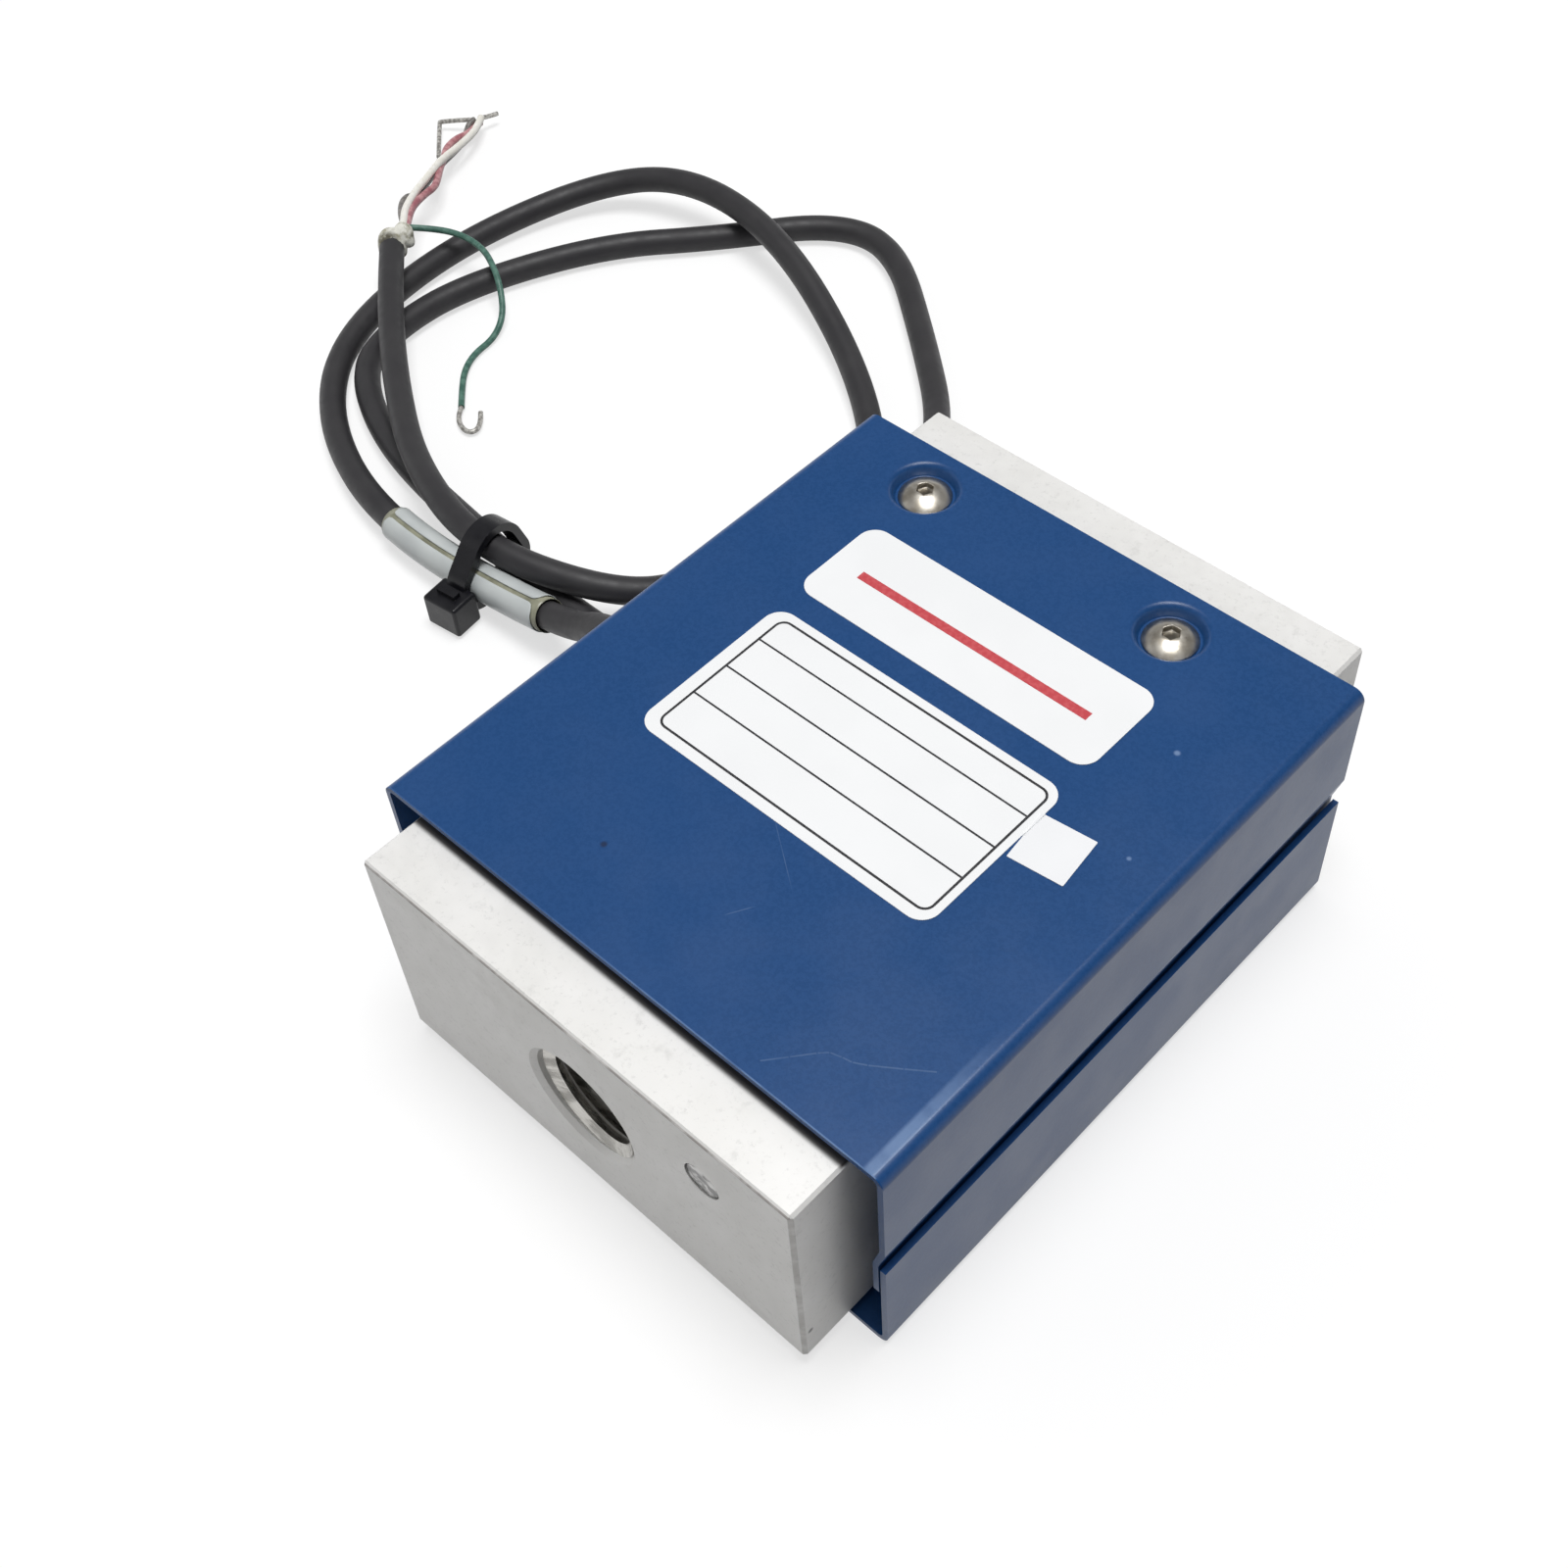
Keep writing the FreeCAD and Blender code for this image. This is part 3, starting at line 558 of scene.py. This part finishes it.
def board_finish():
    """Green laminate with a faint weave."""
    material = new_material("board_green", Specular_IOR_Level=0.5)
    weave = add_node(material, "ShaderNodeTexChecker", {
        "Vector": place_on_object(material), "Scale": 2200.0}).outputs["Fac"]
    tone = mixed(material, product(material, weave, 0.35),
                 srgb(28, 92, 58), srgb(44, 118, 76))
    set_shader(material, Base_Color=tone, Roughness=0.32)
    return material


def resistor_finish():
    """Black glazed body between two tinned ends."""
    material = new_material("resistor_glazed", Specular_IOR_Level=0.5)
    x, _, _ = coordinates(material)
    from_middle = calculated(material, "ABSOLUTE", x)
    beside = calculated(material, "ABSOLUTE",
                        calculated(material, "SUBTRACT", from_middle, 5.6 * MM))
    end = ranged(material, beside, 1.10 * MM, 1.14 * MM)
    tone = mixed(material, end, srgb(24, 24, 26), srgb(190, 188, 182))
    set_shader(material, Base_Color=tone, Roughness=0.3, Metallic=end)
    return material


finishes = {
    "paint": cover_paint_finish(),
    "alloy": block_alloy_finish(),
    "thread": bored_thread_finish(),
    "stainless": stainless_finish(),
    "stop": stop_screw_finish(),
    "jacket": jacket_finish(),
    "film": film_finish(),
    "wrap": wrap_finish(),
    "nylon": nylon_finish(),
    "rubber": rubber_finish(),
    "red": insulation_finish("insulation_red", srgb(164, 98, 108), srgb(204, 152, 155)),
    "black": insulation_finish("insulation_black", srgb(92, 89, 87), srgb(140, 136, 132)),
    "green": insulation_finish("insulation_green", srgb(60, 102, 90), srgb(96, 136, 122)),
    "white": insulation_finish("insulation_white", srgb(243, 240, 230), srgb(252, 250, 244)),
    "tin": tinned_finish(),
    "braid": braid_finish(),
    "label": label_finish("label_white", srgb(242, 243, 244), srgb(245, 246, 247)),
    "sticker": label_finish("sticker_white", srgb(240, 241, 243), srgb(243, 244, 246)),
    "ink": ink_finish("ink_dark", srgb(50, 50, 54), srgb(30, 30, 34)),
    "red_ink": ink_finish("ink_red", srgb(206, 84, 90), srgb(196, 66, 74)),
    "gauge": gauge_finish(),
    "board": board_finish(),
    "resistor": resistor_finish(),
}


# Making pieces
def link_piece(name, data, finish):
    piece = bpy.data.objects.new(name, data)
    bpy.context.scene.collection.objects.link(piece)
    data.materials.clear()
    data.materials.append(finishes[finish])
    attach(piece, "root")
    return piece


def mesh_of(bm, name, sharp_above=35):
    mesh = bpy.data.meshes.new(name)
    bm.to_mesh(mesh)
    bm.free()
    mesh.shade_smooth()
    mesh.set_sharp_from_angle(angle=math.radians(sharp_above))
    return mesh


def give_finish(finish, *names):
    """A CAD node that stays gets its finish in its material slots."""
    for name in names:
        data = nodes[name].data
        data.materials.clear()
        data.materials.append(finishes[finish])


def softened(node_name, width, finish, segments=3, above=30):
    """A copy of a CAD node with its hard edges rounded, which stands for the node."""
    bm = bmesh.new()
    bm.from_mesh(nodes[node_name].data)
    bmesh.ops.remove_doubles(bm, verts=bm.verts, dist=weld_distance)
    bmesh.ops.dissolve_limit(bm, angle_limit=math.radians(0.6), verts=bm.verts, edges=bm.edges)
    piece = link_piece(node_name + "_finished", mesh_of(bm, node_name + "_finished"), finish)
    rounding = piece.modifiers.new("edge_rounding", "BEVEL")
    rounding.width, rounding.segments = width, segments
    rounding.limit_method, rounding.angle_limit = "ANGLE", math.radians(above)
    rounding.use_clamp_overlap = True
    rounding.profile = 0.5
    shading = piece.modifiers.new("flat_faces_flat", "WEIGHTED_NORMAL")
    shading.keep_sharp = True
    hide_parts(node_name)
    return piece


def spline_curve(name, points, radius, steps=10, round_steps=5):
    """A smooth line with the given control points, thickened to a round wire."""
    curve = bpy.data.curves.new(name, "CURVE")
    curve.dimensions = "3D"
    curve.resolution_u = steps
    spline = curve.splines.new("NURBS")
    spline.points.add(len(points) - 1)
    for point, place in zip(spline.points, points):
        point.co = (*place, 1.0)
    spline.order_u = 3
    spline.use_endpoint_u = True
    curve.bevel_depth = radius
    curve.bevel_resolution = round_steps
    curve.use_fill_caps = radius > 0
    return curve


def line_points(points, steps=10):
    """The points that a smooth line runs through, read from its spline without any thickness."""
    curve = spline_curve("line_to_read", points, 0.0, steps)
    holder = bpy.data.objects.new("line_to_read", curve)
    bpy.context.scene.collection.objects.link(holder)
    bpy.context.view_layer.update()
    graph = bpy.context.evaluated_depsgraph_get()
    mesh = bpy.data.meshes.new_from_object(holder.evaluated_get(graph))
    found = [v.co.copy() for v in mesh.vertices]
    bpy.data.objects.remove(holder)
    bpy.data.curves.remove(curve)
    bpy.data.meshes.remove(mesh)
    return found


def stretch_of(points, start, end, step):
    """Evenly spaced points along a line, from one length along it to another."""
    lengths = [0.0]
    for a, b in zip(points, points[1:]):
        lengths.append(lengths[-1] + (b - a).length)
    count = max(2, round((end - start) / step) + 1)
    found = []
    i = 0
    for n in range(count):
        want = start + (end - start) * n / (count - 1)
        while i < len(points) - 2 and lengths[i + 1] < want:
            i += 1
        share = (want - lengths[i]) / (lengths[i + 1] - lengths[i])
        found.append(points[i].lerp(points[i + 1], share))
    return found


def frames_along(points, upwards):
    """For each point of a line: its place, and two directions across it that don't twist."""
    found = []
    side = None
    for i, place in enumerate(points):
        ahead = (points[min(i + 1, len(points) - 1)] - points[max(i - 1, 0)]).normalized()
        if side is None:
            side = ahead.cross(Vector(upwards)).normalized()
        side = (side - ahead * side.dot(ahead)).normalized()
        found.append((place, side, side.cross(ahead).normalized()))
    return found


def swept(bm, frames, sections, closed):
    """Extrudes a section of (side, up) pairs from frame to frame: one for all or one for each."""
    if not isinstance(sections[0], list):
        sections = [sections] * len(frames)
    place, side, up = frames[0]
    ring = [bm.verts.new(place + side * s + up * u) for s, u in sections[0]]
    pairs = list(zip(ring, ring[1:] + ring[:1] if closed else ring[1:]))
    edges = [bm.edges.new(pair) for pair in pairs]
    for (place, side, up), section in zip(frames[1:], sections[1:]):
        made = bmesh.ops.extrude_edge_only(bm, edges=edges)["geom"]
        edges = [g for g in made if isinstance(g, bmesh.types.BMEdge)]
        verts = [g for g in made if isinstance(g, bmesh.types.BMVert)]
        for vert, (s, u) in zip(verts, section):
            vert.co = place + side * s + up * u
    return edges


def ring_section(radius, count, start=0.0, sweep=2 * math.pi, closed=True):
    steps = count if closed else count - 1
    angles = [start + sweep * i / steps for i in range(count)]
    return [(radius * math.cos(angle), radius * math.sin(angle)) for angle in angles]


def rounded_plate(bm, width, length, corner):
    """A flat rectangle round the origin, with rounded corners."""
    bmesh.ops.create_grid(bm, x_segments=1, y_segments=1, size=0.5)
    bmesh.ops.scale(bm, vec=(width, length, 1), verts=bm.verts)
    if corner:
        bmesh.ops.bevel(bm, geom=bm.verts[:], offset=corner, affect="VERTICES", segments=8,
                        profile=0.5, material=-1, offset_type="OFFSET")


# The covers, the screws and the block
def add_thread(name, mouth_y, inwards):
    """The turns of a tapped hole, standing in from the wall of the bore."""
    steps_a_turn = 56
    turns = thread_length / thread_pitch
    crest, root = 0.10 * thread_pitch, 0.46 * thread_pitch
    start = mouth_y + inwards * thread_inset
    bm = bmesh.new()
    section = ((thread_major, -root), (thread_minor, -crest),
               (thread_minor, crest), (thread_major, root))
    ring = [bm.verts.new((radius, start + across, middle_z)) for radius, across in section]
    edges = [bm.edges.new(pair) for pair in zip(ring, ring[1:] + ring[:1])]
    bmesh.ops.spin(bm, geom=ring + edges, cent=(0, 0, middle_z), axis=(0, 1, 0),
                   dvec=(0, inwards * thread_pitch / steps_a_turn, 0),
                   angle=2 * math.pi * turns, steps=round(turns * steps_a_turn), use_merge=False)
    bmesh.ops.holes_fill(bm, edges=bm.edges[:], sides=4)
    bmesh.ops.recalc_face_normals(bm, faces=bm.faces[:])
    link_piece(name, mesh_of(bm, name), "thread")


def add_stop_seal(name, place, mouth_y, inwards):
    """The skin of locking compound that fills a stop screw's hole nearly flush, unevenly."""
    x, z = place
    bm = bmesh.new()
    loop = [bm.verts.new((radius, 0, depth)) for radius, depth in seal_profile]
    edges = [bm.edges.new(pair) for pair in zip(loop, loop[1:])]
    bmesh.ops.spin(bm, geom=loop + edges, cent=(0, 0, 0), axis=(0, 0, 1), angle=2 * math.pi,
                   steps=40, use_merge=True)
    bmesh.ops.remove_doubles(bm, verts=bm.verts, dist=weld_distance)
    bmesh.ops.recalc_face_normals(bm, faces=bm.faces[:])
    turn = Matrix.Rotation(-inwards * math.pi / 2, 4, "X")
    bmesh.ops.transform(bm, matrix=Matrix.Translation((x, mouth_y, z)) @ turn, verts=bm.verts)
    link_piece(name, mesh_of(bm, name, 80), "stop")


def add_cell():
    softened("upper_cover", 0.14 * MM, "paint")
    softened("lower_cover", 0.14 * MM, "paint")
    for cover in ("upper", "lower"):
        for side in ("left", "right"):
            softened(f"{cover}_cover_screw_{side}", 0.07 * MM, "stainless", 2)
    give_finish("alloy", "load_body")
    give_finish("stop", "front_stop_screw", "rear_stop_screw")
    add_thread("front_thread_turns", front_y, 1)
    add_thread("rear_thread_turns", rear_y, -1)
    add_stop_seal("front_stop_seal", front_stop, front_y, 1)
    add_stop_seal("rear_stop_seal", rear_stop, rear_y, -1)


def add_inner_pieces():
    for end in ("front", "rear"):
        for side in ("left", "right"):
            give_finish("gauge", f"strain_gauge_{end}_{side}")
    give_finish("board", "terminal_board")
    give_finish("resistor", "trim_resistor_left", "trim_resistor_right")
    for colour in ("red", "black", "green", "white"):
        give_finish(colour, f"inner_lead_{colour}")


# The labels and their print
def add_print(name, width, length, centre, line, corner, finish):
    """A printed line of even width round a rectangle, or a solid bar where line is 0."""
    bm = bmesh.new()
    rounded_plate(bm, width, length, corner)
    if line:
        inner = bmesh.ops.inset_region(bm, faces=bm.faces[:], thickness=line,
                                       use_even_offset=True, use_boundary=True)
        ring = set(inner["faces"])
        bmesh.ops.delete(bm, geom=[f for f in bm.faces if f not in ring], context="FACES")
    raised = bmesh.ops.extrude_face_region(bm, geom=bm.faces[:])["geom"]
    raised = [g for g in raised if isinstance(g, bmesh.types.BMVert)]
    bmesh.ops.translate(bm, vec=(0, 0, ink_thickness), verts=raised)
    bmesh.ops.recalc_face_normals(bm, faces=bm.faces[:])
    bmesh.ops.translate(bm, vec=(*centre, label_top), verts=bm.verts)
    return link_piece(name, mesh_of(bm, name), finish)


def add_labels():
    give_finish("label", "name_label", "data_label")
    give_finish("sticker", "small_sticker")
    add_print("name_label_stripe", *stripe_size, stripe_centre, 0, 0, "red_ink")
    width, length = frame_right - frame_left, frame_top - frame_bottom
    centre = ((frame_left + frame_right) / 2, (frame_top + frame_bottom) / 2)
    add_print("data_label_frame", width, length, centre, ink_line, frame_corner, "ink")
    for number, y in enumerate(rule_places, 1):
        add_print(f"data_label_rule_{number}", width - 2 * ink_line, 0.8 * ink_line,
                  (centre[0], y), 0, 0, "ink")


# The cable and what is on it
def give_wall(piece):
    wall = piece.modifiers.new("wall", "SOLIDIFY")
    wall.thickness, wall.offset = film_wall, -1


def add_sleeve(cable_line):
    """A clear film tube over the cable, with a pale marker wrapped round it that leaves a seam."""
    film_line = stretch_of(cable_line, sleeve_start, sleeve_end, film_step)
    bm = bmesh.new()
    swept(bm, frames_along(film_line, (0, 0, 1)), ring_section(film_radius, 40), True)
    bmesh.ops.recalc_face_normals(bm, faces=bm.faces[:])
    film = link_piece("sleeve_film", mesh_of(bm, "sleeve_film"), "film")
    give_wall(film)

    wrap_line = stretch_of(cable_line, wrap_start, wrap_end, wrap_step)
    sections = []
    for number in range(len(wrap_line)):
        from_end = min(number, len(wrap_line) - 1 - number) * wrap_step
        short = max(0.0, wrap_corner - from_end)
        cut = wrap_corner - math.sqrt(wrap_corner ** 2 - short ** 2)
        half_gap = (wrap_seam / 2 + cut) / wrap_radius
        sections.append(ring_section(wrap_radius, 48, wrap_seam_angle + half_gap,
                                     2 * (math.pi - half_gap), False))
    bm = bmesh.new()
    swept(bm, frames_along(wrap_line, (0, 0, 1)), sections, False)
    bmesh.ops.recalc_face_normals(bm, faces=bm.faces[:])
    wrap = link_piece("sleeve_marker", mesh_of(bm, "sleeve_marker"), "wrap")
    give_wall(wrap)
    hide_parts("cable_sleeve")
    return [film, wrap]


def wire(name, points, radius, finish, node, steps=8):
    piece = link_piece(name, spline_curve(name, points, radius, steps, 4), finish)
    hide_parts(node)
    return piece


def add_cores():
    """The four cores and the bare, tinned ends of three of them."""
    pieces = [wire(f"{colour}_core", [mm(*p) for p in route], core_radii[colour], colour,
                   f"{colour}_conductor")
              for colour, route in core_routes.items()]
    pieces += [wire(f"{colour}_core_tip", [mm(*p) for p in route], tip_radius, "tin",
                    f"{colour}_conductor_tip")
               for colour, route in tip_routes.items()]
    return pieces


def lumpy_ball(bm, chance, lump_count, lump_height, size, place):
    """A ball with many soft lumps, stretched to its half sizes and put in its place."""
    made = bmesh.ops.create_icosphere(bm, subdivisions=5, radius=1.0)["verts"]
    lumps = []
    for _ in range(lump_count):
        axis = Vector((chance.uniform(-1, 1), chance.uniform(-1, 1), chance.uniform(-1, 1)))
        height = chance.uniform(0.3, 1.0) * lump_height
        edge = chance.uniform(0.82, 0.94)
        lumps.append((axis.normalized(), height, edge))
    for vert in made:
        vert.co *= 1 + sum(height * max(0, vert.co.dot(axis) - edge) * 4
                           for axis, height, edge in lumps)
    bmesh.ops.scale(bm, vec=size, verts=made)
    bmesh.ops.transform(bm, matrix=place, verts=made)


def add_tuft():
    """The frayed braid: a lump beside the jacket's end, and a ragged collar round the cut."""
    end = Vector(cable_route[-1])
    ahead = (end - Vector(cable_route[-2])).normalized()
    turn = ahead.to_track_quat("Z", "Y").to_matrix().to_4x4()
    chance = random.Random(7)
    bm = bmesh.new()
    lumpy_ball(bm, chance, *tuft_lumps, tuft_half_sizes,
               Matrix.Translation(end + Vector(tuft_offset)) @ turn)
    lumpy_ball(bm, chance, *collar_lumps, collar_half_sizes,
               Matrix.Translation(end - ahead * collar_setback) @ turn)
    tuft = link_piece("braid_tuft", mesh_of(bm, "braid_tuft", 180), "braid")
    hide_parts("shield_tuft")
    return [tuft]


def add_cable():
    curve = spline_curve("cable_jacket", cable_route, cable_radius, 14, 7)
    cable = link_piece("cable_jacket", curve, "jacket")
    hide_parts("cable")
    cable_line = line_points(cable_route, 14)
    bushing = softened("strain_relief", 0.15 * MM, "rubber", 3)
    tie = softened("cable_tie", 0.28 * MM, "nylon", 4)
    on_cable = [bushing, tie, *add_sleeve(cable_line), *add_tuft(), *add_cores()]


# The studio
ambient, flag_shade, ceiling_in_gloss = 0.24, 0.17, 0.26
floor_tone, floor_size = 0.38, 3.0
floor_glow, floor_glow_far, glow_reach = 0.65, 0.90, 1.2
softboxes = {
    "overhead_softbox": {"place": (0.03, 0.06, 0.85), "aim": (-0.02, 0.01, 0.02),
                         "size": 0.38, "power": 5.6},
    "side_softbox": {"place": (-0.55, -0.40, 0.45), "aim": (0, 0, 0.02),
                     "size": 0.40, "power": 0.25},
}


def add_softbox(name, place, aim, size, power):
    lamp = bpy.data.lights.new(name, "AREA")
    lamp.shape, lamp.size, lamp.energy = "SQUARE", size, power
    holder = bpy.data.objects.new(name, lamp)
    bpy.context.scene.collection.objects.link(holder)
    away = Vector(aim) - Vector(place)
    turn = away.to_track_quat("-Z", "Y").to_matrix().to_4x4()
    holder.matrix_world = Matrix.Translation(place) @ turn


def seen_directly(material):
    """1 for what the camera sees straight, in gloss or through a clear film."""
    path = add_node(material, "ShaderNodeLightPath").outputs
    seen = calculated(material, "MAXIMUM", path["Is Camera Ray"], path["Is Glossy Ray"])
    return calculated(material, "MAXIMUM", seen, path["Is Transmission Ray"])


def add_world():
    """White to the camera, darker to one side, and dimmer overhead in gloss."""
    world = bpy.data.worlds.new("studio")
    bpy.context.scene.world = world
    world.use_nodes = True
    background = world.node_tree.nodes["Background"]
    background.inputs["Color"].default_value = (1, 1, 1, 1)
    path = add_node(world, "ShaderNodeLightPath").outputs
    sky = add_node(world, "ShaderNodeTexCoord").outputs["Generated"]
    sky = add_node(world, "ShaderNodeSeparateXYZ", {"Vector": sky}).outputs
    ceiling = ranged(world, sky["Z"], 0.08, 0.45, 1.0, ceiling_in_gloss)
    around = ranged(world, sky["X"], -0.9, 0.9, ambient + flag_shade, ambient - flag_shade)
    in_gloss = calculated(world, "MAXIMUM", path["Is Glossy Ray"], path["Is Transmission Ray"])
    strength = ranged(world, in_gloss, 0.0, 1.0, around, ceiling, False)
    strength = ranged(world, path["Is Camera Ray"], 0.0, 1.0, strength, 1.0, False)
    feed(world, background.inputs["Strength"], strength)


def add_floor():
    """A matt floor that reads as white and still takes soft shadows."""
    material = new_material("floor_white", Base_Color=(floor_tone, floor_tone, floor_tone, 1),
                            Roughness=0.9, Specular_IOR_Level=0.0)
    place = add_node(material, "ShaderNodeTexCoord").outputs["Object"]
    away = add_node(material, "ShaderNodeVectorMath", {0: place}, operation="LENGTH")
    glow = ranged(material, away.outputs["Value"], 0.0, glow_reach, floor_glow, floor_glow_far)
    glow = product(material, seen_directly(material), glow)
    set_shader(material, Emission_Color=(1, 1, 1, 1), Emission_Strength=glow)
    bm = bmesh.new()
    bmesh.ops.create_grid(bm, x_segments=1, y_segments=1, size=floor_size)
    floor = bpy.data.objects.new("floor", mesh_of(bm, "floor"))
    floor.data.materials.append(material)
    bpy.context.scene.collection.objects.link(floor)


def add_studio():
    add_world()
    add_floor()
    for name, lamp in softboxes.items():
        add_softbox(name, **lamp)
    bpy.context.scene.view_settings.view_transform = "Standard"


add_camera()
add_studio()
add_cable()
add_cell()
add_inner_pieces()
add_labels()
